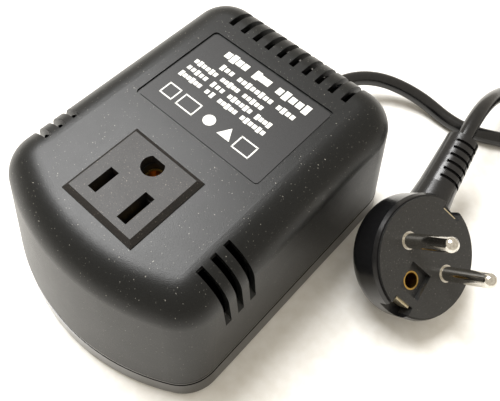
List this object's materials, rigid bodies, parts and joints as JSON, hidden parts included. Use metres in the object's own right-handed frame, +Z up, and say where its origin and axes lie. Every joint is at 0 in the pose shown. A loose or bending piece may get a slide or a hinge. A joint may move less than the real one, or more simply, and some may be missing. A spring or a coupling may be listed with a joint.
{
  "type": "step-down autotransformer",
  "caption": "Black plastic mains step-down autotransformer with a flat-blade outlet in its top, air slots, and a moulded lead with an angled round-pin earthed plug.",
  "frame": {"origin": "middle of the case on the surface it stands on", "axes": "+Z up, the outlet at the -Y end of the top, the lead leaving the +Y end, +X to the right seen from the outlet end"},
  "size_m": [0.1891, 0.2526, 0.0538],
  "materials": {
    "shell_abs": "black ABS, fine satin texture",
    "tray_abs": "black ABS, polished",
    "outlet_plastic": "dark grey-brown, sparkle texture",
    "label_film": null,
    "contact_moulding": "black moulding, dull",
    "inner_nylon": "natural nylon, satin",
    "brass_contact": "plain brass strip",
    "lamination_steel": "silicon steel laminations, oxide grey",
    "copper_wire": "enamelled copper, glossy",
    "winding_tape": "yellow polyester tape",
    "tag_metal": "tinned",
    "zinc_screw": "bright zinc plate",
    "foot_rubber": "dull",
    "fuse_body": "plain",
    "fuse_sleeving": "woven glass sleeving",
    "wire_brown": "satin PVC",
    "wire_blue": "satin PVC",
    "wire_green_yellow": "satin PVC, two colours",
    "wire_black": "satin PVC",
    "cord_pvc": "black PVC, glossy",
    "plug_pvc": "black moulded PVC, glossy",
    "plug_face": "speckled satin",
    "nickel_pin": "bright nickel plate",
    "clip_steel": "tinned spring strip",
    "tie_plastic": "plastic-coated tie"
  },
  "bodies": {
    "root": {"base_tray": "tray_abs", "upper_shell": "shell_abs", "case_screws": "zinc_screw", "rubber_feet": "foot_rubber", "rating_label": "label_film", "outlet_face": "outlet_plastic", "outlet_contact_carrier": "contact_moulding", "outlet_line_contact": "brass_contact", "outlet_neutral_contact": "brass_contact", "outlet_earth_contact": "brass_contact", "core_e_laminations": "lamination_steel", "core_i_laminations": "lamination_steel", "coil_former": "inner_nylon", "common_winding": "copper_wire", "inner_winding_tape": "winding_tape", "series_winding": "copper_wire", "outer_winding_tape": "winding_tape", "winding_tags": "tag_metal", "core_screws": "zinc_screw", "core_washers": "zinc_screw", "thermal_fuse": "fuse_body", "thermal_fuse_sleeve": "fuse_sleeving", "line_lead": "wire_brown", "neutral_lead": "wire_blue", "earth_lead": "wire_green_yellow", "fuse_link": "tag_metal", "outlet_line_lead": "wire_black", "outlet_neutral_lead": "wire_blue", "cord_gland": "cord_pvc", "cord_clamp_bar": "inner_nylon", "cord_clamp_screws": "zinc_screw", "power_cord_held_end": "cord_pvc", "plug_pins": "nickel_pin", "plug_earth_socket": "brass_contact", "plug_earth_strap": "clip_steel", "plug_pin_carrier": "plug_face", "plug_overmould": "plug_pvc", "power_cord_coil": "cord_pvc", "cord_tie": "tie_plastic", "power_cord": "cord_pvc", "power_cord_to_plug": "cord_pvc"}
  },
  "joints": []
}
